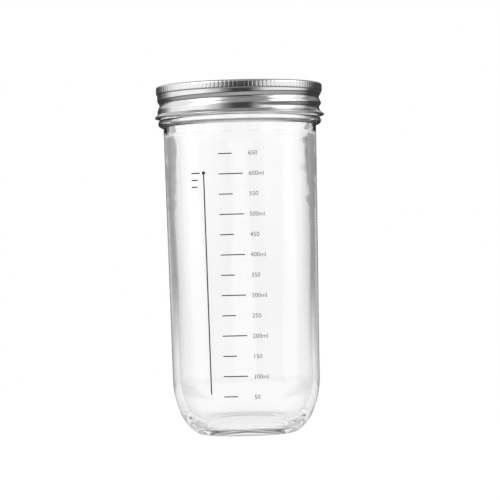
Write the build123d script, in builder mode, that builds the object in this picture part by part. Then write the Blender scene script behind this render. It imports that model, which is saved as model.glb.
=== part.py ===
from build123d import *
import os

os.makedirs("parts", exist_ok=True)

# A glass jar for a sourdough starter, with a two-piece screw lid.
# Millimetres. The origin is the middle of the foot, +Z is up and the printed scale faces -Y.

# Whole jar
total_height = 175.0

# Glass body
body_top_radius = 38.35
body_taper = 1.5
corner_height = 29.0
corner_width = 16.0
glass_wall = 3.2
floor_thickness = 6.0
pushup_height = 2.0
foot_land_width = 3.0

# Glass mouth, from the body up
neck_flare = 1.35
neck_wall = 3.4
lip_radius = 1.1
support_ring_stand = 1.25
support_ring_height = 3.9
glass_thread_rise = 0.8
glass_thread_turns = 1.25
glass_thread_sink = 0.6

# Screw band, rolled from sheet
band_sheet = 0.4
band_height = 16.0
band_play = 0.3
band_rim_width = 5.2
hem_flare = 1.35
hem_height = 1.8
hem_curl_radius = 0.55
hem_clearance = 0.9
shoulder_radius = 1.2
knurl_height = 4.2
knurl_stand = 0.5
thread_pitch = 5.1
band_groove_radius = 0.95
band_groove_lift = 2.3
band_thread_turns = 1.15
thread_spacing = 2.1
groove_end_angle = 2.5

# Lid disc and its seal
disc_sheet = 0.4
disc_play = 0.55
panel_gap = 1.4
panel_step = 1.1
panel_rise = 0.3
seal_thickness = 1.2
seal_width = 3.0
seal_inset = 0.3

# Printed scale
ink_thickness = 0.12
mark_pitch = 9.9
mark_line = 0.5
lowest_mark_height = 20.3
mark_pairs = 6
marks_left = 10.9
short_mark_length = 6.7
long_mark_length = 11.9

# Printed line for the feeding day
fed_dot_radius = 0.85
fed_dot_height = 130.0
fed_dot_left = 18.25
fed_line_foot_height = 21.5
fed_line_foot_left = 17.1
fed_line_width = 0.6
stroke_left = 24.3
stroke_lengths = [4.1, 3.1, 2.8]
stroke_pitch = 3.4
stroke_width = 0.6

# Levels up the jar
band_foot = total_height - band_height
disc_top = total_height - band_sheet
disc_bottom = disc_top - disc_sheet
glass_rim = disc_bottom - seal_thickness
support_ring_top = band_foot - hem_clearance
body_top = support_ring_top - support_ring_height
ring_middle = body_top + support_ring_height / 2
body_foot_radius = body_top_radius - body_taper
foot_radius = body_foot_radius - corner_width
neck_radius = body_top_radius + neck_flare
support_ring_radius = neck_radius + support_ring_stand
bore_radius = neck_radius - neck_wall
body_bore_top = body_top_radius - glass_wall
body_bore_foot = body_foot_radius - glass_wall

# Radii of the band, from the glass outwards
band_inner = neck_radius + glass_thread_rise + band_play
band_outer = band_inner + band_sheet
knurl_radius = band_outer + knurl_stand
hem_centre = band_outer + hem_flare - hem_curl_radius
groove_level = band_foot + hem_curl_radius + band_groove_lift
band_ridge_radius = band_groove_radius + band_sheet
disc_radius = band_inner - disc_play


# Glass jar: one turned profile, outside from the foot up and inside from the mouth down
with BuildPart() as glass_jar:
    with BuildSketch(Plane.XZ):
        with BuildLine():
            dome = ThreePointArc(
                (0, pushup_height),
                ((foot_radius - foot_land_width) / 2, pushup_height * 3 / 4),
                (foot_radius - foot_land_width, 0),
            )
            land = Line(dome @ 1, (foot_radius, 0))
            corner = EllipticalCenterArc(
                (foot_radius, corner_height),
                corner_width,
                corner_height,
                start_angle=-90,
                arc_size=90,
            )
            side = Line(corner @ 1, (body_top_radius, body_top))
            ring_under = EllipticalCenterArc(
                (body_top_radius, ring_middle),
                support_ring_radius - body_top_radius,
                support_ring_height / 2,
                start_angle=-90,
                arc_size=90,
            )
            ring_over = EllipticalCenterArc(
                (neck_radius, ring_middle),
                support_ring_stand,
                support_ring_height / 2,
                start_angle=0,
                arc_size=90,
            )
            neck = Line(ring_over @ 1, (neck_radius, glass_rim - lip_radius))
            outer_lip = RadiusArc(
                neck @ 1,
                (neck_radius - lip_radius, glass_rim),
                lip_radius,
            )
            rim = Line(outer_lip @ 1, (bore_radius + lip_radius, glass_rim))
            inner_lip = RadiusArc(
                rim @ 1,
                (bore_radius, glass_rim - lip_radius),
                lip_radius,
            )
            bore = Line(inner_lip @ 1, (bore_radius, support_ring_top))
            throat = Line(bore @ 1, (body_bore_top, body_top - support_ring_height))
            inner_side = Line(throat @ 1, (body_bore_foot, corner_height))
            inner_corner = EllipticalCenterArc(
                (foot_radius, corner_height),
                body_bore_foot - foot_radius,
                corner_height - floor_thickness,
                start_angle=-90,
                arc_size=90,
            )
            floor = Line((foot_radius, floor_thickness), (0, floor_thickness))
            Line(floor @ 1, dome @ 0)
        make_face()
    revolve(axis=Axis.Z)

    # The glass thread runs above the band's own ridge, so the ridge pulls on its underside
    thread_radius = glass_thread_rise + glass_thread_sink
    with BuildLine(mode=Mode.PRIVATE) as glass_helix:
        Helix(
            thread_pitch,
            thread_pitch * glass_thread_turns,
            neck_radius - glass_thread_sink,
            center=(0, 0, groove_level + thread_spacing),
        )
    with BuildSketch(Plane(origin=glass_helix.line @ 0, x_dir=(1, 0, 0), z_dir=glass_helix.line % 0)):
        Circle(thread_radius)
    sweep(path=glass_helix.line, is_frenet=True)
    with BuildSketch(Plane.XY.offset(body_top)):
        Circle(bore_radius)
    extrude(amount=total_height - body_top, mode=Mode.SUBTRACT)

glass_jar.part.label = "glass_jar"
export_step(glass_jar.part, "parts/glass_jar.step")


# Screw band: a sheet ring with a flat inward rim, a knurled top edge, a rolled thread and a flared hem
with BuildPart() as screw_band:
    with BuildSketch(Plane.XZ):
        with BuildLine():
            Polyline(
                (band_inner, band_foot),
                (hem_centre, band_foot),
                (hem_centre, band_foot + hem_curl_radius * 2),
                (band_outer, band_foot + hem_height),
                (band_outer, total_height - knurl_height),
                (knurl_radius, total_height - knurl_height + knurl_stand),
                (knurl_radius, total_height - shoulder_radius),
            )
            shoulder = RadiusArc(
                (knurl_radius, total_height - shoulder_radius),
                (knurl_radius - shoulder_radius, total_height),
                -shoulder_radius,
            )
            Polyline(
                shoulder @ 1,
                (band_outer - band_rim_width, total_height),
                (band_outer - band_rim_width, disc_top),
                (band_inner - disc_play, disc_top),
                (band_inner, disc_bottom),
                (band_inner, band_foot),
            )
        make_face()
        with Locations((hem_centre, band_foot + hem_curl_radius)):
            Circle(hem_curl_radius)
    revolve(axis=Axis.Z)

    # The rolled ridge stands inside the wall and starts within the sheet's own thickness
    with BuildLine(mode=Mode.PRIVATE) as ridge_helix:
        Helix(
            thread_pitch,
            thread_pitch * band_thread_turns,
            band_outer,
            center=(0, 0, groove_level),
        )
    with BuildSketch(Plane(origin=ridge_helix.line @ 0, x_dir=(1, 0, 0), z_dir=ridge_helix.line % 0)):
        Circle(band_ridge_radius)
        with Locations((-band_sheet / 2, 0)):
            Rectangle(
                band_ridge_radius * 2,
                band_ridge_radius * 2,
                align=(Align.MAX, Align.CENTER),
                mode=Mode.INTERSECT,
            )
    sweep(path=ridge_helix.line, is_frenet=True)

    # The groove outside it follows the same helix and stops short of the ridge's two ends
    groove_turns = band_thread_turns - groove_end_angle / 180
    groove_start = thread_pitch * groove_end_angle / 360
    with BuildLine(Plane.XY.rotated((0, 0, groove_end_angle)), mode=Mode.PRIVATE) as groove_helix:
        Helix(
            thread_pitch,
            thread_pitch * groove_turns,
            band_outer,
            center=(0, 0, groove_level + groove_start),
        )
    groove_radial = Vector(1, 0, 0).rotate(Axis.Z, groove_end_angle)
    with BuildSketch(
        Plane(origin=groove_helix.line @ 0, x_dir=groove_radial, z_dir=groove_helix.line % 0)
    ):
        Circle(band_groove_radius)
    sweep(path=groove_helix.line, is_frenet=True, mode=Mode.SUBTRACT)

screw_band.part.label = "screw_band"
export_step(screw_band.part, "parts/screw_band.step")


# Lid disc: a pressed sheet whose middle panel stands up a little inside the band's rim
panel_radius = band_outer - band_rim_width - panel_gap
with BuildPart() as lid_disc:
    with BuildSketch(Plane.XZ):
        with BuildLine():
            Polyline(
                (0, disc_bottom + panel_rise),
                (panel_radius - panel_step, disc_bottom + panel_rise),
                (panel_radius, disc_bottom),
                (disc_radius, disc_bottom),
                (disc_radius, disc_top),
                (panel_radius, disc_top),
                (panel_radius - panel_step, disc_top + panel_rise),
                (0, disc_top + panel_rise),
                close=True,
            )
        make_face()
    revolve(axis=Axis.Z)

lid_disc.part.label = "lid_disc"
export_step(lid_disc.part, "parts/lid_disc.step")


# Lid seal: a soft flat ring under the disc, seated on the glass rim
with BuildPart() as lid_seal:
    with BuildSketch(Plane.XY.offset(glass_rim)):
        Circle(neck_radius - seal_inset)
        Circle(neck_radius - seal_inset - seal_width, mode=Mode.SUBTRACT)
    extrude(amount=seal_thickness)

lid_seal.part.label = "lid_seal"
export_step(lid_seal.part, "parts/lid_seal.step")


# The print lies on the glass as a skin of ink: each group of marks is cut out of a turned skin
with BuildPart() as ink_skin:
    with BuildSketch(Plane.XZ):
        with BuildLine():
            glass_corner = EllipticalCenterArc(
                (foot_radius, corner_height),
                corner_width,
                corner_height,
                start_angle=-90,
                arc_size=90,
            )
            glass_side = Line(glass_corner @ 1, (body_top_radius, body_top))
            top_edge = Line(glass_side @ 1, (body_top_radius + ink_thickness, body_top))
            ink_side = Line(top_edge @ 1, (body_foot_radius + ink_thickness, corner_height))
            ink_corner = EllipticalCenterArc(
                (foot_radius, corner_height),
                corner_width + ink_thickness,
                corner_height + ink_thickness,
                start_angle=-90,
                arc_size=90,
            )
            Line(ink_corner @ 0, glass_corner @ 0)
        make_face()
    revolve(axis=Axis.Z)

mark_heights = [lowest_mark_height + step * mark_pitch for step in range(mark_pairs * 2 + 1)]
short_mark_heights = mark_heights[0::2]
long_mark_heights = mark_heights[1::2]
print_reach = body_top_radius + ink_thickness * 2


# Short marks of the scale
with BuildPart() as short_marks:
    with BuildSketch(Plane.XZ):
        for height in short_mark_heights:
            with Locations((-marks_left, height)):
                Rectangle(short_mark_length, mark_line, align=(Align.MIN, Align.CENTER))
    extrude(amount=print_reach)
    add(ink_skin.part, mode=Mode.INTERSECT)

short_marks.part.label = "short_marks"
export_step(short_marks.part, "parts/short_marks.step")


# Long marks of the scale
with BuildPart() as long_marks:
    with BuildSketch(Plane.XZ):
        for height in long_mark_heights:
            with Locations((-marks_left, height)):
                Rectangle(long_mark_length, mark_line, align=(Align.MIN, Align.CENTER))
    extrude(amount=print_reach)
    add(ink_skin.part, mode=Mode.INTERSECT)

long_marks.part.label = "long_marks"
export_step(long_marks.part, "parts/long_marks.step")


# Dot and the long line down from it, with three short strokes in the place of a few words
half_line = fed_line_width / 2
with BuildPart() as fed_line:
    with BuildSketch(Plane.XZ):
        with Locations((-fed_dot_left, fed_dot_height)):
            Circle(fed_dot_radius)
        with BuildLine():
            Polyline(
                (-fed_dot_left - half_line, fed_dot_height),
                (-fed_line_foot_left - half_line, fed_line_foot_height),
                (-fed_line_foot_left + half_line, fed_line_foot_height),
                (-fed_dot_left + half_line, fed_dot_height),
                close=True,
            )
        make_face()
    extrude(amount=print_reach)
    add(ink_skin.part, mode=Mode.INTERSECT)

fed_line.part.label = "fed_line"
export_step(fed_line.part, "parts/fed_line.step")


with BuildPart() as fed_strokes:
    with BuildSketch(Plane.XZ):
        for row, length in enumerate(stroke_lengths):
            with Locations((-stroke_left, fed_dot_height - row * stroke_pitch)):
                Rectangle(length, stroke_width, align=(Align.MIN, Align.CENTER))
    extrude(amount=print_reach)
    add(ink_skin.part, mode=Mode.INTERSECT)

fed_strokes.part.label = "fed_strokes"
export_step(fed_strokes.part, "parts/fed_strokes.step")
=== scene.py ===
import math
import bmesh
import bpy
from bpy.props import FloatProperty, IntProperty, PointerProperty, StringProperty
from mathutils import Matrix, Vector, noise


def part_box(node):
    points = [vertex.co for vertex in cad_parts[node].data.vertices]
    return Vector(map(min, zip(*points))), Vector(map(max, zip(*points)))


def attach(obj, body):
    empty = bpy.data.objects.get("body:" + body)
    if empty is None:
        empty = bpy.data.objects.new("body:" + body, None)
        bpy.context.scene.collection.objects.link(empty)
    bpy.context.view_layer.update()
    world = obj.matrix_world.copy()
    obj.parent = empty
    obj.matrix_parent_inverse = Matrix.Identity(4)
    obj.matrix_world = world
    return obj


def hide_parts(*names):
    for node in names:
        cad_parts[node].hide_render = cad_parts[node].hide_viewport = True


bl_info = {
    "name": "Starter Jar",
    "version": (1, 0, 0),
    "blender": (4, 5, 0),
    "location": "View3D > Sidebar > Jar",
    "description": "Builds a glass jar with a printed scale and a two-piece screw lid round its frame",
    "category": "Object",
}

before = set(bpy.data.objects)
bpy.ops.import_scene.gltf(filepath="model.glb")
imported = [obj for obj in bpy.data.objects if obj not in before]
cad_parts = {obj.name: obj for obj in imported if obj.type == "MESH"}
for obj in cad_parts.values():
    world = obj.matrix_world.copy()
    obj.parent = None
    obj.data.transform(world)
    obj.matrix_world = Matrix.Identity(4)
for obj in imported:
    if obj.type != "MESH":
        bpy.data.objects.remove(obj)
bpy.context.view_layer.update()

MM = 0.001
TOTAL_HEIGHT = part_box("screw_band")[1][2]
BAND_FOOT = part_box("screw_band")[0][2]
GLASS_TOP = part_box("glass_jar")[1][2]
LOWEST_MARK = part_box("short_marks")[0][2]
MARKS = 13
VOLUME_STEP = 50

# Points nearer to each other than this become one, in the spun pieces and in the print
WELD = 0.002 * MM
PRINT_WELD = 0.001 * MM

# The band is spun in slices of a few knurls, and each knurl in a few steps
SLICE_KNURLS = 3
KNURL_STEPS = 6

# Where in the noise the broad waves of the inside wall start, in waves across and down
SWAY_START = (7, 2)

# Light passes both walls and is caught in the thick foot, so its path is long
BOUNCES = 64


def linear_colour(text):
    """The linear colour, with full alpha, of an sRGB hex value such as #C8C8CA."""
    channels = [int(text[i:i + 2], 16) / 255 for i in (1, 3, 5)]
    return [c / 12.92 if c <= 0.04045 else ((c + 0.055) / 1.055) ** 2.4 for c in channels] + [1.0]


def length(name, description, default):
    """A property that holds a length in metres."""
    return FloatProperty(name=name, description=description, default=default, unit="LENGTH", precision=5)


def number(name, description, default):
    """A property that holds a plain number."""
    return FloatProperty(name=name, description=description, default=default)


def turn(name, description, degrees):
    """A property that holds an angle, written in degrees."""
    angle = math.radians(degrees)
    return FloatProperty(name=name, description=description, default=angle, unit="ROTATION")


def hex_colour(name, description, default):
    """A property that holds an sRGB colour as a hex value."""
    return StringProperty(name=name, description=description, default=default)


class JarGlassSizes(bpy.types.PropertyGroup):
    """Sizes of the glass jar: those of the solids, and the waves that blowing leaves inside it."""

    body_top_radius: length("Body top radius", "Outside, under the support ring", 38.35 * MM)
    body_foot_radius: length("Body foot radius", "Outside, where the soft corner starts", 36.85 * MM)
    corner_height: length("Corner height", "Height of the soft corner above the foot", 29.0 * MM)
    corner_width: length("Corner width", "How far the soft corner draws in", 16.0 * MM)
    wall: length("Wall", "Thickness of the body's wall", 3.2 * MM)
    floor: length("Floor", "Height of the inside floor", 6.0 * MM)
    pushup: length("Push-up", "Height of the dome under the foot", 2.0 * MM)
    foot_land: length("Foot land", "Width of the ring that the jar stands on", 3.0 * MM)
    neck_radius: length("Neck radius", "Outside, at the root of the thread", 39.7 * MM)
    neck_wall: length("Neck wall", "Thickness of the neck", 3.4 * MM)
    lip_radius: length("Lip radius", "Rounding of the rim's two edges", 1.1 * MM)
    ring_radius: length("Support ring radius", "Outside of the ring under the lid", 40.95 * MM)
    ring_height: length("Support ring height", "Height of the ring under the lid", 3.9 * MM)
    ring_top: length("Support ring top", "Level of the ring's upper edge", 158.1 * MM)
    thread_rise: length("Thread rise", "How far the glass thread stands out", 0.8 * MM)
    thread_width: length("Thread width", "Half the width of the glass thread", 1.7 * MM)
    thread_turns: number("Thread turns", "Turns of the glass thread", 1.25)
    sway: length("Sway", "Depth of the broad waves of the inside wall", 0.2 * MM)
    sway_width: length("Sway width", "Width of the broad waves", 33.33 * MM)
    sway_length: length("Sway length", "Length of the broad waves down the wall", 71.43 * MM)
    streak: length("Streak", "Depth of the long waves down the inside wall", 0.06 * MM)
    streak_width: length("Streak width", "Width of the long waves", 9.09 * MM)
    streak_length: length("Streak length", "Length of the long waves down the wall", 45.45 * MM)
    ripple: length("Ripple", "Depth of the short waves under the neck", 0.04 * MM)
    ripple_width: length("Ripple width", "Width of the short waves", 5.882 * MM)
    ripple_length: length("Ripple length", "Length of the short waves down the wall", 5.263 * MM)
    ripple_foot: length("Ripple foot", "Level above which the short waves set in", 90 * MM)
    ripple_fade: length("Ripple fade", "Height over which the short waves set in", 40 * MM)
    still_half: length("Still half", "Half the width of the smoother front and back", 8 * MM)
    still_fade: length("Still fade", "Width over which the waves grow beside it", 16 * MM)
    still_share: number("Still share", "What is left there of the long and short waves", 0.3)
    rim_fade: length("Rim fade", "Height over which all waves set in under the rim", 14 * MM)


class JarBandSizes(bpy.types.PropertyGroup):
    """Sizes of the screw band: those of the solids, with the groove, hem and knurls of a real one."""

    sheet: length("Sheet", "Thickness of the rolled sheet", 0.4 * MM)
    outer_radius: length("Outer radius", "Outside of the plain wall", 41.2 * MM)
    rim_width: length("Rim width", "How far the flat top reaches in", 5.2 * MM)
    disc_play: length("Disc play", "Gap between the wall and the disc", 0.55 * MM)
    hem_flare: length("Hem flare", "How far the hem stands out from the wall", 1.335 * MM)
    hem_height: length("Hem height", "Where the wall starts to flare into the hem", 1.9 * MM)
    hem_curl: length("Hem curl", "Radius of the hem's curled edge", 0.32 * MM)
    shoulder: length("Shoulder", "Rounding of the top edge", 1.2 * MM)
    knurl_height: length("Knurl height", "Height of the knurled ring", 4.2 * MM)
    knurl_stand: length("Knurl stand", "How far the knurled ring stands out", 0.5 * MM)
    knurl_depth: length("Knurl depth", "Depth of the grooves between the knurls", 0.15 * MM)
    flute: number("Flute", "Half a groove's width, as a share of the way to the next", 0.2)
    rib_edge: number("Rib edge", "Rounded edge of a rib, as a share of the way to the next", 0.07)
    knurl_foot_fade: length("Knurl foot fade", "Height over which the grooves set in", 0.9 * MM)
    knurl_top_fade: length("Knurl top fade", "Height over which the grooves run out", 0.5 * MM)
    knurls: IntProperty(name="Knurls", description="Number of knurls round the band", default=126)
    thread_pitch: length("Thread pitch", "Rise of the thread in one turn", 5.1 * MM)
    thread_lift: length("Thread lift", "Groove above the foot of the band at +X", 4.0 * MM)
    thread_depth: length("Thread depth", "Depth of the rolled groove", 1.05 * MM)
    thread_above: length("Thread above", "Width of the groove above its middle", 2.3 * MM)
    thread_below: length("Thread below", "Width of the groove below its middle", 3.4 * MM)
    thread_foot_fade: length("Thread foot fade", "Height over which it fades to the hem", 1.4 * MM)
    thread_top_fade: length("Thread top fade", "Height over which it fades to the knurls", 0.8 * MM)
    thread_start: number("Thread start", "Turn at which the groove starts", -0.24)
    thread_end: number("Thread end", "Turn at which the groove ends", 1.15)
    thread_spacing: length("Thread spacing", "Glass thread above the band's ridge", 1.55 * MM)


class JarLidSizes(bpy.types.PropertyGroup):
    """Sizes of the lid disc and its seal, as in the solids."""

    disc_sheet: length("Disc sheet", "Thickness of the disc", 0.4 * MM)
    disc_radius: length("Disc radius", "Outside of the disc", 40.25 * MM)
    panel_radius: length("Panel radius", "Foot of the raised panel", 34.6 * MM)
    panel_step: length("Panel step", "Width of the panel's slope", 1.1 * MM)
    panel_rise: length("Panel rise", "Height of the raised panel", 0.3 * MM)
    seal_width: length("Seal width", "Width of the seal ring", 3.0 * MM)
    seal_radius: length("Seal radius", "Outside of the seal ring", 39.4 * MM)
    seal_thickness: length("Seal thickness", "Thickness of the seal ring", 1.2 * MM)
    seal_corner: length("Seal corner", "Rounding of the seal's edges", 0.25 * MM)


class JarPrintSizes(bpy.types.PropertyGroup):
    """Sizes of the printed numbers, and of the marks that they stand beside."""

    ink: length("Ink", "Thickness of the print", 0.12 * MM)
    mark_line: length("Mark line", "Thickness of the marks' lines", 0.5 * MM)
    number_left: length("Number left", "Left edge of the numbers", 3.75 * MM)
    number_lift: length("Number lift", "Lowest number above its mark", -0.45 * MM)
    number_pitch: length("Number pitch", "Height from one number to the next", 9.94 * MM)
    stroke: length("Stroke", "How much the letters' strokes are thickened", -0.015 * MM)
    letter_size: length("Letter size", "Size of the letters", 3.05 * MM)


class JarColours(bpy.types.PropertyGroup):
    """Colours of the materials, as sRGB hex values."""

    glass: hex_colour("Glass", "Colour of the clear glass face on", "#FFFFFF")
    # The edge grey is painted shade: it darkens the glass where the eye looks along the wall
    glass_edge_painted_shade: hex_colour("Glass edge", "Colour of the clear glass edge on", "#5C6260")
    tinplate: hex_colour("Tinplate", "Colour of the rolled band", "#C9C9CA")
    disc: hex_colour("Disc", "Colour of the pressed disc", "#CDCDCE")
    seal: hex_colour("Seal", "Colour of the seal ring", "#D9D6CC")
    ink: hex_colour("Ink", "Colour of the print", "#1E1E21")


class JarStage(bpy.types.PropertyGroup):
    """Where the camera stands, and how far the pale floor reaches."""

    distance: length("Distance", "Camera to the jar's axis", 1.25)
    height: length("Height", "Camera above the floor", 0.079)
    aside: length("Aside", "Camera to the right of the jar's axis", 0.0035)
    view_width: length("View width", "Width of the picture at the jar's axis", 0.2513)
    tilt: turn("Tilt", "Camera tilted up", 0.6)
    roll: turn("Roll", "Camera rolled", -1.5)
    floor_radius: length("Floor radius", "Radius of the floor", 0.6)


def arc(centre, across, up, start, end, steps):
    """Points on an ellipse about centre, from the start angle to the end angle, in degrees."""
    angles = [math.radians(start + (end - start) * i / steps) for i in range(steps + 1)]
    return [(centre[0] + across * math.cos(a), centre[1] + up * math.sin(a)) for a in angles]


def run(start, end, steps):
    """Even points from start to end."""
    return [
        (start[0] + (end[0] - start[0]) * i / steps, start[1] + (end[1] - start[1]) * i / steps)
        for i in range(steps + 1)
    ]


def soft_step(share):
    """A share that starts and ends gently, and stays between 0 and 1."""
    share = max(0.0, min(1.0, share))
    return share * share * (3 - 2 * share)


def spun(points, slices, steps):
    """A bmesh of an outline of (radius, height) points, spun once round the Z axis.
    One slice is spun in a few steps, and is then repeated round the axis."""
    mesh = bmesh.new()
    verts = [mesh.verts.new((radius, 0.0, height)) for radius, height in points]
    edges = [mesh.edges.new(pair) for pair in zip(verts, verts[1:])]
    spin = {"cent": (0, 0, 0), "axis": (0, 0, 1)}
    bmesh.ops.spin(mesh, geom=verts + edges, angle=math.tau / slices, steps=steps, **spin)
    slice_parts = mesh.verts[:] + mesh.edges[:] + mesh.faces[:]
    bmesh.ops.spin(mesh, geom=slice_parts, angle=math.tau, steps=slices, use_duplicate=True, **spin)
    bmesh.ops.remove_doubles(mesh, verts=mesh.verts, dist=WELD)
    return mesh


def finished(mesh, name, material, sharp=40):
    """A smooth shaded object of a bmesh, with its faces pointing out.
    Edges that turn by more than the sharp angle, in degrees, stay sharp."""
    bmesh.ops.recalc_face_normals(mesh, faces=mesh.faces)
    data = bpy.data.meshes.new(name)
    mesh.to_mesh(data)
    mesh.free()
    data.shade_smooth()
    data.set_sharp_from_angle(angle=math.radians(sharp))
    data.materials.append(material)
    piece = bpy.data.objects.new(name, data)
    bpy.context.collection.objects.link(piece)
    return piece


def outer_radius(sizes, height):
    """The outside radius of the glass body at a height."""
    if height < sizes.corner_height:
        fall = (sizes.corner_height - height) / sizes.corner_height
        foot = sizes.body_foot_radius - sizes.corner_width
        return foot + sizes.corner_width * math.sqrt(max(0.0, 1 - fall * fall))
    body_top = sizes.ring_top - sizes.ring_height
    share = (height - sizes.corner_height) / (body_top - sizes.corner_height)
    return sizes.body_foot_radius + (sizes.body_top_radius - sizes.body_foot_radius) * share


def waves(x, y, z, width, down, start=(0, 0)):
    """Smooth noise between about -1 and 1, with waves of a width, and of a length down the jar."""
    return noise.noise(Vector((x / width + start[0], y / width, z / down + start[1])))


def wall_wave(sizes, x, y, z):
    """How far the inside wall is waved outwards at a place.
    All waves die out at the rim and in the middle of the floor."""
    foot = sizes.body_foot_radius - sizes.corner_width
    calm = soft_step((GLASS_TOP - z) / sizes.rim_fade)
    calm *= soft_step((math.hypot(x, y) - foot / 2) / foot)
    side = soft_step((abs(x) - sizes.still_half) / sizes.still_fade)
    side = sizes.still_share + (1 - sizes.still_share) * side
    high = soft_step((z - sizes.ripple_foot) / sizes.ripple_fade)
    sway = waves(x, y, z, sizes.sway_width, sizes.sway_length, SWAY_START)
    streak = waves(x, y, z, sizes.streak_width, sizes.streak_length)
    ripple = waves(x, y, z, sizes.ripple_width, sizes.ripple_length)
    return calm * (sizes.sway * sway + side * (sizes.streak * streak + sizes.ripple * high * ripple))


def thread_share(angle, height, level, pitch, start, end, above, below):
    """How full a rolled thread is at a place: 1 in its middle and 0 beside it.
    The thread passes its level at +X, and fades in and out over part of a turn at its ends."""
    fade = 0.16
    fullest = 0.0
    for lap in range(math.floor(start) - 1, math.ceil(end) + 1):
        along = angle / math.tau + lap
        gap = height - level - pitch * along
        width = above if gap > 0 else below
        if start < along < end and abs(gap) < width:
            fullness = soft_step(min(along - start, end - along) / fade)
            fullest = max(fullest, fullness * (0.5 + 0.5 * math.cos(math.pi * gap / width)))
    return fullest


def add_node(tree, kind, settings=None, links=None):
    """Adds a node with its settings, input values and links, and returns it.
    A number as a name is an input's place, and stops are a colour ramp's (place, grey) pairs."""
    node = tree.nodes.new(kind)
    for key, value in (settings or {}).items():
        if key == "stops":
            elements = node.color_ramp.elements
            node.color_ramp.interpolation = "EASE"
            for element, (place, grey) in zip(elements, (value[0], value[-1])):
                element.position = place
                element.color = (grey, grey, grey, 1)
            for place, grey in value[1:-1]:
                elements.new(place).color = (grey, grey, grey, 1)
        elif isinstance(key, int) or key in node.inputs:
            node.inputs[key].default_value = value
        else:
            setattr(node, key, value)
    for key, socket in (links or {}).items():
        tree.links.new(socket, node.inputs[key])
    return node


def new_material(name):
    """An empty node material and its node tree."""
    material = bpy.data.materials.new(name)
    material.use_nodes = True
    material.node_tree.nodes.clear()
    return material, material.node_tree


def glass_material(colours):
    """Soda-lime glass, blown in a mould: clear and fire polished, with long faint waves down its
    skin, and painted shade that greys it where the eye looks along the wall. Its shadow is as clear as
    it is."""
    material, tree = new_material("soda_lime_glass_blown")
    wave_width = 9.09 * MM
    wave_length = wave_width * 5
    stretch = {"Scale": (1, 1, wave_width / wave_length)}
    place = add_node(tree, "ShaderNodeTexCoord")
    drawn = add_node(tree, "ShaderNodeMapping", stretch, {"Vector": place.outputs["Object"]})
    skin = add_node(
        tree,
        "ShaderNodeTexNoise",
        {"Scale": 1 / wave_width, "Detail": 1.0},
        {"Vector": drawn.outputs[0]},
    )
    bump = add_node(
        tree,
        "ShaderNodeBump",
        {"Strength": 1.0, "Distance": 0.03 * MM},
        {"Height": skin.outputs["Fac"]},
    )
    weight = add_node(tree, "ShaderNodeLayerWeight", {"Blend": 0.5})
    facing = {0: weight.outputs["Facing"]}
    # Painted shade: the glass's colour goes towards the edge grey where the eye looks along the wall,
    # for dark edges in every view
    edge = add_node(tree, "ShaderNodeMath", {"operation": "POWER", 1: 4.0}, facing)
    glass_and_painted_edge_shade = add_node(tree, "ShaderNodeMix", {"data_type": "RGBA"}, {0: edge.outputs[0]})
    glass_and_painted_edge_shade.inputs[6].default_value = linear_colour(colours.glass)
    glass_and_painted_edge_shade.inputs[7].default_value = linear_colour(colours.glass_edge_painted_shade)
    glass = add_node(
        tree,
        "ShaderNodeBsdfPrincipled",
        {"Roughness": 0.0, "IOR": 1.52, "Transmission Weight": 1.0},
        {"Base Color": glass_and_painted_edge_shade.outputs[2], "Normal": bump.outputs[0]},
    )
    clear = add_node(tree, "ShaderNodeBsdfTransparent", {"Color": linear_colour(colours.glass)})
    path = add_node(tree, "ShaderNodeLightPath")
    mixed = add_node(
        tree,
        "ShaderNodeMixShader",
        links={0: path.outputs["Is Shadow Ray"], 1: glass.outputs[0], 2: clear.outputs[0]},
    )
    add_node(tree, "ShaderNodeOutputMaterial", links={"Surface": mixed.outputs[0]})
    return material


def metal_material(name, colour, roughness, grain):
    """Bright rolled tinplate: a soft mirror with rolling lines round the piece, and duller spots.
    Real rolling lines are finer than the grain here, which is as wide as it needs to be to show."""
    material, tree = new_material(name)
    spot = 11.11 * MM
    line_length = 16.67 * MM
    place = add_node(tree, "ShaderNodeTexCoord")
    blotch = add_node(
        tree,
        "ShaderNodeTexNoise",
        {"Scale": 1 / spot, "Detail": 3.0, "Roughness": 0.55},
        {"Vector": place.outputs["Object"]},
    )
    rolled = {"Scale": (1 / line_length, 1 / line_length, 1 / grain)}
    flat = add_node(tree, "ShaderNodeMapping", rolled, {"Vector": place.outputs["Object"]})
    lines = add_node(
        tree,
        "ShaderNodeTexNoise",
        {"Scale": 1.0, "Detail": 2.0},
        {"Vector": flat.outputs[0]},
    )
    rough = add_node(
        tree,
        "ShaderNodeMapRange",
        {"From Min": 0.3, "From Max": 0.7, "To Min": roughness * 0.8, "To Max": roughness * 1.25},
        {"Value": blotch.outputs["Fac"]},
    )
    bump = add_node(
        tree,
        "ShaderNodeBump",
        {"Strength": 0.12, "Distance": 0.02 * MM},
        {"Height": lines.outputs["Fac"]},
    )
    metal = add_node(
        tree,
        "ShaderNodeBsdfPrincipled",
        {"Base Color": linear_colour(colour), "Metallic": 1.0},
        {"Roughness": rough.outputs[0], "Normal": bump.outputs[0]},
    )
    add_node(tree, "ShaderNodeOutputMaterial", links={"Surface": metal.outputs[0]})
    return material


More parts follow.
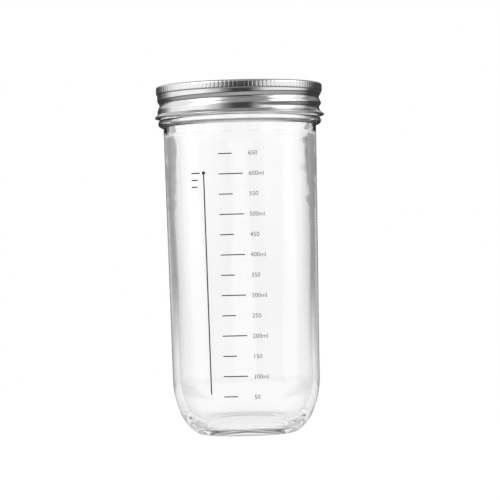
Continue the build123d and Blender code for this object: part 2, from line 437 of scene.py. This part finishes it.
def dull_material(name, colour, roughness, grain, depth):
    """A dull skin, finely uneven, for the moulded seal and the printed enamel.
    The grain of both is drawn wider than the real one, so that it shows from near by."""
    material, tree = new_material(name)
    place = add_node(tree, "ShaderNodeTexCoord")
    skin = add_node(
        tree,
        "ShaderNodeTexNoise",
        {"Scale": 1 / grain, "Detail": 4.0},
        {"Vector": place.outputs["Object"]},
    )
    shade = add_node(
        tree,
        "ShaderNodeMapRange",
        {"To Min": 0.85, "To Max": 1.15},
        {"Value": skin.outputs["Fac"]},
    )
    tone = add_node(
        tree,
        "ShaderNodeHueSaturation",
        {"Color": linear_colour(colour)},
        {"Value": shade.outputs[0]},
    )
    bump = add_node(
        tree,
        "ShaderNodeBump",
        {"Strength": 0.3, "Distance": depth},
        {"Height": skin.outputs["Fac"]},
    )
    body = add_node(
        tree,
        "ShaderNodeBsdfPrincipled",
        {"Roughness": roughness},
        {"Base Color": tone.outputs[0], "Normal": bump.outputs[0]},
    )
    add_node(tree, "ShaderNodeOutputMaterial", links={"Surface": body.outputs[0]})
    return material


def glass_outline(sizes):
    """The jar's turned outline: its outside from the foot up, then its inside from the rim down."""
    foot = sizes.body_foot_radius - sizes.corner_width
    dome_edge = foot - sizes.foot_land
    corner = sizes.corner_height
    body_top = sizes.ring_top - sizes.ring_height
    ring_half = sizes.ring_height / 2
    ring_middle = body_top + ring_half
    under_ring = sizes.ring_radius - sizes.body_top_radius
    over_ring = sizes.ring_radius - sizes.neck_radius
    lip = sizes.lip_radius
    lip_foot = GLASS_TOP - lip
    bore = sizes.neck_radius - sizes.neck_wall
    throat = body_top - sizes.ring_height
    inner_top = sizes.body_top_radius - sizes.wall
    inner_foot = sizes.body_foot_radius - sizes.wall

    dome = run((0, 0), (dome_edge, 0), 10)
    outside = [(radius, sizes.pushup * (1 - (radius / dome_edge) ** 2)) for radius, _ in dome]
    outside += arc((foot, corner), sizes.corner_width, corner, -90, 0, 28)
    outside += run((sizes.body_foot_radius, corner), (sizes.body_top_radius, body_top), 60)[1:]
    outside += arc((sizes.body_top_radius, ring_middle), under_ring, ring_half, -90, 0, 9)[1:]
    outside += arc((sizes.neck_radius, ring_middle), over_ring, ring_half, 0, 90, 7)[1:]
    outside += run((sizes.neck_radius, sizes.ring_top), (sizes.neck_radius, lip_foot), 40)[1:]
    outside += arc((sizes.neck_radius - lip, lip_foot), lip, lip, 0, 90, 6)[1:]
    inside = arc((bore + lip, lip_foot), lip, lip, 90, 180, 6)
    inside += run((bore, lip_foot), (bore, sizes.ring_top), 6)[1:]
    inside += run((bore, sizes.ring_top), (inner_top, throat), 8)[1:]
    inside += run((inner_top, throat), (inner_foot, corner), 70)[1:]
    inside += arc((foot, corner), inner_foot - foot, corner - sizes.floor, 0, -90, 24)[1:]
    inside += run((foot, sizes.floor), (0, sizes.floor), 10)[1:]
    return outside + inside


class JAR_OT_glass(bpy.types.Operator):
    """Build the glass jar with its waved inside, support ring, thread and open mouth"""

    bl_idname = "jar.glass"
    bl_label = "Glass Jar"

    def execute(self, context):
        sizes = context.scene.jar_glass
        band = context.scene.jar_band
        mesh = spun(glass_outline(sizes), slices=16, steps=16)

        body_top = sizes.ring_top - sizes.ring_height
        # Points this near the axis have no side to be pushed to
        core = 1 * MM
        # These tell the neck's outside and the inside above the floor from the rest of the glass
        neck_skin = sizes.neck_radius - sizes.lip_radius * 0.2
        floor_skin = sizes.floor * 0.9
        wall_skin = sizes.wall * 0.6
        width = sizes.thread_width
        level = BAND_FOOT + band.thread_lift + band.thread_spacing
        thread = (level, band.thread_pitch, 0.0, sizes.thread_turns, width, width)
        for vert in mesh.verts:
            x, y, z = vert.co
            radius = math.hypot(x, y)
            if radius < core:
                continue
            shift = 0.0
            if z > sizes.ring_top and radius > neck_skin:
                angle = math.atan2(y, x) % math.tau
                shift = sizes.thread_rise * thread_share(angle, z, *thread)
            elif z > floor_skin and radius < outer_radius(sizes, min(z, body_top)) - wall_skin:
                shift = wall_wave(sizes, x, y, z)
            vert.co.x += shift * x / radius
            vert.co.y += shift * y / radius

        material = glass_material(context.scene.jar_colours)
        piece = finished(mesh, "jar_glass", material, sharp=60)
        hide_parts("glass_jar")
        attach(piece, "jar")
        return {"FINISHED"}


def band_outline(sizes):
    """The band's turned outline: up the outside from the curled hem, over the rim and down inside."""
    outer = sizes.outer_radius
    inner = outer - sizes.sheet
    half = sizes.sheet / 2
    curl = sizes.hem_curl
    hem = (outer + sizes.hem_flare - curl, BAND_FOOT + curl)
    flare_top = BAND_FOOT + sizes.hem_height
    stand = sizes.knurl_stand
    knurled = outer + stand
    knurl_foot = TOTAL_HEIGHT - sizes.knurl_height
    shoulder = sizes.shoulder
    shoulder_foot = TOTAL_HEIGHT - shoulder
    rim_edge = outer - sizes.rim_width
    under_rim = TOTAL_HEIGHT - sizes.sheet

    outline = run((inner + half, BAND_FOOT), (hem[0], BAND_FOOT), 3)
    outline += arc(hem, curl, curl, -90, 60, 9)[1:]
    outline += run(outline[-1], (outer, flare_top), 4)[1:]
    outline += run((outer, flare_top), (outer, knurl_foot - half), 42)[1:]
    outline += arc((outer, knurl_foot + stand), stand, stand, -90, 0, 4)
    outline += run((knurled, knurl_foot + stand), (knurled, shoulder_foot), 4)[1:]
    outline += arc((knurled - shoulder, shoulder_foot), shoulder, shoulder, 0, 90, 8)[1:]
    outline += arc((rim_edge + half, TOTAL_HEIGHT - half), half, half, 90, 270, 6)
    outline += [(inner - sizes.disc_play, under_rim), (inner, under_rim - sizes.sheet)]
    outline += run((inner, knurl_foot), (inner, BAND_FOOT + half), 26)
    return outline + outline[:1]


class JAR_OT_band(bpy.types.Operator):
    """Build the screw band with its knurled edge, rolled thread and flared hem"""

    bl_idname = "jar.band"
    bl_label = "Screw Band"

    def execute(self, context):
        sizes = context.scene.jar_band
        slices = sizes.knurls // SLICE_KNURLS
        mesh = spun(band_outline(sizes), slices=slices, steps=SLICE_KNURLS * KNURL_STEPS)

        outer = sizes.outer_radius
        # Just inside the wall's sheet
        wall_skin = outer - sizes.sheet * 1.25
        groove_foot = BAND_FOOT + sizes.hem_curl * 2
        knurl_foot = TOTAL_HEIGHT - sizes.knurl_height
        level = BAND_FOOT + sizes.thread_lift
        turns = (sizes.thread_start, sizes.thread_end)
        thread = (level, sizes.thread_pitch, *turns, sizes.thread_above, sizes.thread_below)
        # Where a knurl's points go, as shares of the way to the next one: the groove's middle and
        # its edge, then the rib's rounded edge and its middle
        rib_places = (0.0, sizes.flute, sizes.flute + sizes.rib_edge, 0.5)
        for vert in mesh.verts:
            x, y, z = vert.co
            radius = math.hypot(x, y)
            angle = math.atan2(y, x) % math.tau
            shift = 0.0
            if radius > wall_skin and groove_foot < z < knurl_foot:
                ease = soft_step((z - groove_foot) / sizes.thread_foot_fade)
                ease *= soft_step((knurl_foot - z) / sizes.thread_top_fade)
                shift = -sizes.thread_depth * ease * thread_share(angle, z, *thread)
            elif radius > outer and z > knurl_foot:
                ease = soft_step((z - knurl_foot) / sizes.knurl_foot_fade)
                ease *= soft_step((TOTAL_HEIGHT - z) / sizes.knurl_top_fade)
                place = (angle * sizes.knurls / math.tau + 0.5) % 1 - 0.5
                step = round(abs(place) * KNURL_STEPS)
                if step == 0:
                    shift = -sizes.knurl_depth * ease
                moved = math.copysign(rib_places[step], place)
                angle += (moved - place) * math.tau / sizes.knurls
            vert.co.x = (radius + shift) * math.cos(angle)
            vert.co.y = (radius + shift) * math.sin(angle)

        colour = context.scene.jar_colours.tinplate
        material = metal_material("tinplate_rolled", colour, roughness=0.16, grain=0.3 * MM)
        piece = finished(mesh, "band_shell", material)
        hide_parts("screw_band")
        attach(piece, "band")
        return {"FINISHED"}


class JAR_OT_lid(bpy.types.Operator):
    """Build the pressed lid disc and its soft seal ring"""

    bl_idname = "jar.lid"
    bl_label = "Lid Disc and Seal"

    def execute(self, context):
        sizes = context.scene.jar_lid
        colours = context.scene.jar_colours
        top = TOTAL_HEIGHT - context.scene.jar_band.sheet
        bottom = top - sizes.disc_sheet
        half = sizes.disc_sheet / 2
        slope = sizes.panel_radius - sizes.panel_step

        def panel(level):
            """A face of the sheet from the middle out, over the raised panel's soft slope."""
            raised = level + sizes.panel_rise
            points = run((0, raised), (slope, raised), 12)
            for share, _ in run((0, 0), (1, 0), 8)[1:]:
                height = level + sizes.panel_rise * (1 - soft_step(share))
                points.append((slope + sizes.panel_step * share, height))
            return points

        edge = arc((sizes.disc_radius - half, bottom + half), half, half, 90, -90, 6)
        mesh = spun(panel(top) + edge + panel(bottom)[::-1], slices=16, steps=12)
        material = metal_material("tinplate_pressed", colours.disc, roughness=0.16, grain=0.5 * MM)
        disc = finished(mesh, "disc_sheet", material)
        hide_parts("lid_disc")
        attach(disc, "lid")

        corner = sizes.seal_corner
        low = bottom - sizes.seal_thickness + corner
        high = bottom - corner
        wide = sizes.seal_radius - corner
        narrow = sizes.seal_radius - sizes.seal_width + corner
        ring = []
        start = -90
        for centre in ((wide, low), (wide, high), (narrow, high), (narrow, low)):
            ring += arc(centre, corner, corner, start, start + 90, 4)
            start += 90
        mesh = spun(ring + ring[:1], slices=16, steps=12)
        skin = {"roughness": 0.5, "grain": 1.111 * MM, "depth": 0.02 * MM}
        material = dull_material("silicone_moulded", colours.seal, **skin)
        seal = finished(mesh, "seal_ring", material)
        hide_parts("lid_seal")
        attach(seal, "lid")
        return {"FINISHED"}


class JAR_OT_print(bpy.types.Operator):
    """Print the plain numbers on the glass and give the marks their ink"""

    bl_idname = "jar.print"
    bl_label = "Printed Scale"

    def execute(self, context):
        sizes = context.scene.jar_print
        glass = context.scene.jar_glass
        colour = context.scene.jar_colours.ink
        skin = {"roughness": 0.45, "grain": 0.6667 * MM, "depth": 0.01 * MM}
        ink = dull_material("enamel_screen_printed", colour, **skin)
        for node in ("short_marks", "long_marks", "fed_line", "fed_strokes"):
            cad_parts[node].material_slots[0].material = ink

        mesh = bmesh.new()
        lowest = LOWEST_MARK + sizes.mark_line / 2 + sizes.number_lift
        for step in range(MARKS):
            level = lowest + step * sizes.number_pitch
            volume = VOLUME_STEP * (step + 1)
            text = bpy.data.curves.new("number", "FONT")
            text.body = f"{volume}ml" if step % 2 else f"{volume}"
            text.size = sizes.letter_size
            text.align_y = "CENTER"
            text.resolution_u = 3
            text.extrude = sizes.ink / 2
            text.offset = sizes.stroke
            label = bpy.data.objects.new("number", text)
            bpy.context.collection.objects.link(label)
            depsgraph = bpy.context.evaluated_depsgraph_get()
            flat = bpy.data.meshes.new_from_object(label.evaluated_get(depsgraph))
            # Each point is laid on the round glass, at its own height and distance from it
            for vert in flat.vertices:
                x, up, out = vert.co
                across = sizes.number_left + x
                radius = outer_radius(glass, level + up) + sizes.ink / 2 + out
                vert.co = (across, -math.sqrt(radius * radius - across * across), level + up)
            mesh.from_mesh(flat)
            bpy.data.objects.remove(label)
            bpy.data.curves.remove(text)
            bpy.data.meshes.remove(flat)
        bmesh.ops.remove_doubles(mesh, verts=mesh.verts, dist=PRINT_WELD)
        piece = finished(mesh, "scale_numbers", ink, sharp=30)
        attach(piece, "jar")
        return {"FINISHED"}


# Greys round the jar as bright metal mirrors them, at the jar's level and above it. Each has its
# place as a share of a turn from +X by +Y, and the camera stands at 0.75
LEVEL_GREYS = [
    (0.0, 1.4),
    (0.02, 1.15),
    (0.075, 0.08),
    (0.35, 0.08),
    (0.39, 0.3),
    (0.46, 1.4),
    (0.52, 1.6),
    (0.6, 1.6),
    (0.66, 1.0),
    (0.7, 0.3),
    (0.73, 0.07),
    (0.79, 0.06),
    (0.82, 0.5),
    (0.86, 1.4),
    (1.0, 1.5),
]
UPPER_GREYS = [
    (0.0, 1.4),
    (0.055, 1.3),
    (0.085, 0.35),
    (0.18, 0.35),
    (0.22, 0.8),
    (0.36, 0.8),
    (0.41, 1.3),
    (0.6, 1.5),
    (0.66, 1.2),
    (0.72, 0.4),
    (0.79, 0.32),
    (0.86, 0.45),
    (0.9, 0.8),
    (0.94, 1.4),
    (1.0, 1.4),
]

# Greys of the cards that are seen through the glass: each repeat has a clear gap in its middle, and
# grey on both sides of it. The low cards and the floor's stand below the first ones
CARD_GREYS = [
    (0.25, 0.4),
    (0.33, 0.3),
    (0.36, 0.55),
    (0.39, 1.0),
    (0.655, 1.0),
    (0.67, 0.5),
    (0.75, 0.4),
]
LOW_GREYS = [(0.2, 0.25), (0.28, 1.0), (0.72, 1.0), (0.8, 0.25)]
FLOOR_GREYS = [(0.15, 0.72), (0.3, 0.9), (0.7, 0.9), (0.85, 0.72)]
CARDS = 4
LOW_CARDS = 8
OVERHEAD_GREY = 0.45
NEAR_FLOOR_GREY = 0.6
PALE_GREY = 0.9
WHITE = 1.0

# The dim table's grey is a share of the grey above it, on top of a darkest grey
TABLE_SHARE = 0.155
TABLE_DARKEST = 0.05

# A leaning card's place is scaled about the gap's middle, by the first factor below the lean and by
# the second above it
GAP_MIDDLE = 0.52
LEAN_FACTORS = (0.7, 1.2)

# Where one part of the room goes over into the next, from and to. Each is the rise of a ray towards
# it, the sine of its angle above level
TABLE_TOP = (-0.04, 0.02)
UPPER_FOOT = (0.16, 0.36)
OVERHEAD_FOOT = (0.65, 0.85)
LOW_CARDS_TOP = (-0.1, -0.085)
CARDS_FOOT = (-0.05, -0.01)
CARDS_TOP = (0.1, 0.16)
LEAN = (0.02, 0.06)

# The same on the floor, as the distance in metres from the jar's axis
FLOOR_TABLE_EDGE = (0.2, 0.38)
FLOOR_CARDS_START = (0.1, 0.14)
FLOOR_CARDS_END = (0.28, 0.36)

# The paper's own light, and the grey that takes the lamps' light and the shadow
PAPER_GLOW = 0.72
PAPER_GREY = 0.3

# The soft lamps, each with its name, place, width and power in watts, and the level they point at
LAMPS = (
    ("key", (-0.7, -0.5, 0.7), 0.6, 3.0),
    ("fill", (0.8, -0.3, 0.6), 0.6, 2.0),
)
LAMP_LEVEL = 90 * MM


def blend(tree, value, edge, first, second):
    """Greys that go softly from the first to the second as a value rises from edge to edge."""
    low, high = edge
    soft = {"interpolation_type": "SMOOTHSTEP", "From Min": low, "From Max": high}
    share = add_node(tree, "ShaderNodeMapRange", soft, {"Value": value})
    greys = {2: first, 3: second}
    settings = {place: grey for place, grey in greys.items() if isinstance(grey, float)}
    links = {place: grey for place, grey in greys.items() if not isinstance(grey, float)}
    return add_node(tree, "ShaderNodeMix", settings, {0: share.outputs[0], **links}).outputs[0]


def choose(tree, switch, off, on):
    """One grey where a switch is off, and another where it is on."""
    return blend(tree, switch, (0.0, 1.0), off, on)


def turn_share(tree, vector):
    """A vector's direction round Z as 0 to 1, from +X by +Y."""
    parts = add_node(tree, "ShaderNodeSeparateXYZ", links={0: vector})
    across = {0: parts.outputs["Y"], 1: parts.outputs["X"]}
    angle = add_node(tree, "ShaderNodeMath", {"operation": "ARCTAN2"}, across)
    whole = {"operation": "MULTIPLY", 1: 1 / math.tau}
    share = add_node(tree, "ShaderNodeMath", whole, {0: angle.outputs[0]})
    return add_node(tree, "ShaderNodeMath", {"operation": "FRACT"}, {0: share.outputs[0]}).outputs[0]


def cards(tree, share, count, greys, rise=None):
    """Grey cards stood round the jar, with a clear gap between each two, for what the glass bends.
    One gap stands at +X. With a rise, the cards lean, so that the gaps get wider lower down."""
    times = {"operation": "MULTIPLY_ADD", 1: count, 2: 0.5}
    repeat = add_node(tree, "ShaderNodeMath", times, {0: share})
    place = add_node(tree, "ShaderNodeMath", {"operation": "FRACT"}, {0: repeat.outputs[0]}).outputs[0]
    if rise:
        centred = {"operation": "SUBTRACT", 1: GAP_MIDDLE}
        aside = add_node(tree, "ShaderNodeMath", centred, {0: place})
        scaled = {"operation": "MULTIPLY_ADD", 2: GAP_MIDDLE}
        ends = {0: aside.outputs[0], 1: blend(tree, rise, LEAN, *LEAN_FACTORS)}
        place = add_node(tree, "ShaderNodeMath", scaled, ends).outputs[0]
    return add_node(tree, "ShaderNodeValToRGB", {"stops": greys}, {0: place}).outputs[0]


def table_grey(tree, share):
    """The grey of the dim table between the pale floor and the room, and the grey above it."""
    level = add_node(tree, "ShaderNodeValToRGB", {"stops": LEVEL_GREYS}, {0: share}).outputs[0]
    dim = {"operation": "MULTIPLY_ADD", 1: TABLE_SHARE, 2: TABLE_DARKEST}
    return add_node(tree, "ShaderNodeMath", dim, {0: level}).outputs[0], level


def build_world(scene):
    """The room round the stage: white for the eye, softboxes for the metal and cards for the glass."""
    world = bpy.data.worlds.new("studio")
    scene.world = world
    world.use_nodes = True
    tree = world.node_tree
    tree.nodes.clear()
    place = add_node(tree, "ShaderNodeTexCoord").outputs["Generated"]
    path = add_node(tree, "ShaderNodeLightPath")
    rise = add_node(tree, "ShaderNodeSeparateXYZ", links={0: place}).outputs["Z"]
    share = turn_share(tree, place)

    table, level = table_grey(tree, share)
    upper = add_node(tree, "ShaderNodeValToRGB", {"stops": UPPER_GREYS}, {0: share}).outputs[0]
    mirrored = blend(tree, rise, UPPER_FOOT, level, upper)
    mirrored = blend(tree, rise, OVERHEAD_FOOT, mirrored, OVERHEAD_GREY)
    mirrored = blend(tree, rise, TABLE_TOP, table, mirrored)

    bent = cards(tree, share, CARDS, CARD_GREYS, rise)
    low = blend(tree, rise, LOW_CARDS_TOP, cards(tree, share, LOW_CARDS, LOW_GREYS), WHITE)
    bent = blend(tree, rise, CARDS_FOOT, low, bent)
    bent = blend(tree, rise, CARDS_TOP, bent, WHITE)

    seen = choose(tree, path.outputs["Is Glossy Ray"], PALE_GREY, mirrored)
    seen = choose(tree, path.outputs["Is Transmission Ray"], seen, bent)
    seen = choose(tree, path.outputs["Is Camera Ray"], seen, WHITE)
    sky = add_node(tree, "ShaderNodeBackground", links={"Color": seen})
    add_node(tree, "ShaderNodeOutputWorld", links={"Surface": sky.outputs[0]})


def floor_material():
    """Matt paper, lit to white: it takes the jar's faint shadow, and the band mirrors a pale round
    of it near the jar and the dim table further out."""
    material, tree = new_material("paper_floor")
    place = add_node(tree, "ShaderNodeTexCoord").outputs["Object"]
    path = add_node(tree, "ShaderNodeLightPath")
    away = add_node(tree, "ShaderNodeVectorMath", {"operation": "LENGTH"}, {0: place}).outputs["Value"]
    share = turn_share(tree, place)
    table, _ = table_grey(tree, share)
    mirrored = blend(tree, away, FLOOR_TABLE_EDGE, NEAR_FLOOR_GREY, table)
    floor_cards = cards(tree, share, LOW_CARDS, FLOOR_GREYS)
    bent = blend(tree, away, FLOOR_CARDS_START, PALE_GREY, floor_cards)
    bent = blend(tree, away, FLOOR_CARDS_END, bent, PALE_GREY)
    seen = choose(tree, path.outputs["Is Transmission Ray"], WHITE, bent)
    shown = add_node(
        tree,
        "ShaderNodeMath",
        {"operation": "MAXIMUM"},
        {0: path.outputs["Is Camera Ray"], 1: path.outputs["Is Transmission Ray"]},
    )
    glowing = {"operation": "MULTIPLY", 1: PAPER_GLOW}
    lit = add_node(tree, "ShaderNodeMath", glowing, {0: shown.outputs[0]})
    glow = add_node(tree, "ShaderNodeEmission", links={"Color": seen, "Strength": lit.outputs[0]})
    plain = (PAPER_GREY, PAPER_GREY, PAPER_GREY, 1)
    paper = add_node(tree, "ShaderNodeBsdfDiffuse", {"Color": plain})
    both = add_node(tree, "ShaderNodeAddShader", links={0: glow.outputs[0], 1: paper.outputs[0]})
    mirror = add_node(tree, "ShaderNodeEmission", {"Strength": 1.0}, {"Color": mirrored})
    reflected = add_node(
        tree,
        "ShaderNodeMath",
        {"operation": "SUBTRACT", "use_clamp": True},
        {0: path.outputs["Is Glossy Ray"], 1: path.outputs["Is Transmission Ray"]},
    )
    mixed = add_node(
        tree,
        "ShaderNodeMixShader",
        links={0: reflected.outputs[0], 1: both.outputs[0], 2: mirror.outputs[0]},
    )
    add_node(tree, "ShaderNodeOutputMaterial", links={"Surface": mixed.outputs[0]})
    return material


class JAR_OT_stage(bpy.types.Operator):
    """Set the camera, the pale floor, the world and the soft lamps"""

    bl_idname = "jar.stage"
    bl_label = "Stage"

    def execute(self, context):
        stage = context.scene.jar_stage
        scene = context.scene
        scene.view_settings.view_transform = "Standard"
        scene.cycles.max_bounces = BOUNCES
        scene.cycles.glossy_bounces = BOUNCES
        scene.cycles.transmission_bounces = BOUNCES

        lens = bpy.data.cameras.new("camera")
        lens.sensor_fit = "HORIZONTAL"
        lens.lens = lens.sensor_width * stage.distance / stage.view_width
        camera = bpy.data.objects.new("camera", lens)
        scene.collection.objects.link(camera)
        aim = Matrix.Rotation(math.pi / 2 + stage.tilt, 4, "X") @ Matrix.Rotation(stage.roll, 4, "Z")
        camera.matrix_world = Matrix.Translation((stage.aside, -stage.distance, stage.height)) @ aim
        scene.camera = camera

        build_world(scene)
        mesh = bmesh.new()
        bmesh.ops.create_circle(mesh, cap_ends=True, segments=96, radius=stage.floor_radius)
        floor = finished(mesh, "floor", floor_material())

        for name, place, width, power in LAMPS:
            data = bpy.data.lights.new(name, "AREA")
            data.size = width
            data.energy = power
            lamp = bpy.data.objects.new(name, data)
            scene.collection.objects.link(lamp)
            # The thick foot would show the lamps as hard bright spots
            lamp.visible_transmission = False
            aim = Vector((0, 0, LAMP_LEVEL)) - Vector(place)
            turned = aim.to_track_quat("-Z", "Y").to_matrix().to_4x4()
            lamp.matrix_world = Matrix.Translation(place) @ turned
        return {"FINISHED"}


class JAR_PT_panel(bpy.types.Panel):
    """The jar's builders, listed in the sidebar"""

    bl_label = "Starter Jar"
    bl_idname = "JAR_PT_panel"
    bl_space_type = "VIEW_3D"
    bl_region_type = "UI"
    bl_category = "Jar"

    def draw(self, context):
        for builder in BUILDERS:
            self.layout.operator(builder.bl_idname)
        for group in SIZE_GROUPS:
            box = self.layout.box()
            settings = getattr(context.scene, group)
            for name in settings.__annotations__:
                box.prop(settings, name)


BUILDERS = (JAR_OT_stage, JAR_OT_glass, JAR_OT_band, JAR_OT_lid, JAR_OT_print)
SIZE_GROUPS = {
    "jar_glass": JarGlassSizes,
    "jar_band": JarBandSizes,
    "jar_lid": JarLidSizes,
    "jar_print": JarPrintSizes,
    "jar_colours": JarColours,
    "jar_stage": JarStage,
}


def register():
    """Adds the classes, and gives scenes the jar's sizes and colours."""
    for group in (*SIZE_GROUPS.values(), *BUILDERS, JAR_PT_panel):
        bpy.utils.register_class(group)
    for name, group in SIZE_GROUPS.items():
        setattr(bpy.types.Scene, name, PointerProperty(type=group))


def unregister():
    """Takes the sizes, colours and classes away again."""
    for name in SIZE_GROUPS:
        delattr(bpy.types.Scene, name)
    for group in (JAR_PT_panel, *BUILDERS, *SIZE_GROUPS.values()):
        bpy.utils.unregister_class(group)


def main():
    """Builds the stage and every piece."""
    register()
    bpy.ops.jar.stage()
    bpy.ops.jar.glass()
    bpy.ops.jar.band()
    bpy.ops.jar.lid()
    bpy.ops.jar.print()


if __name__ == "__main__":
    main()
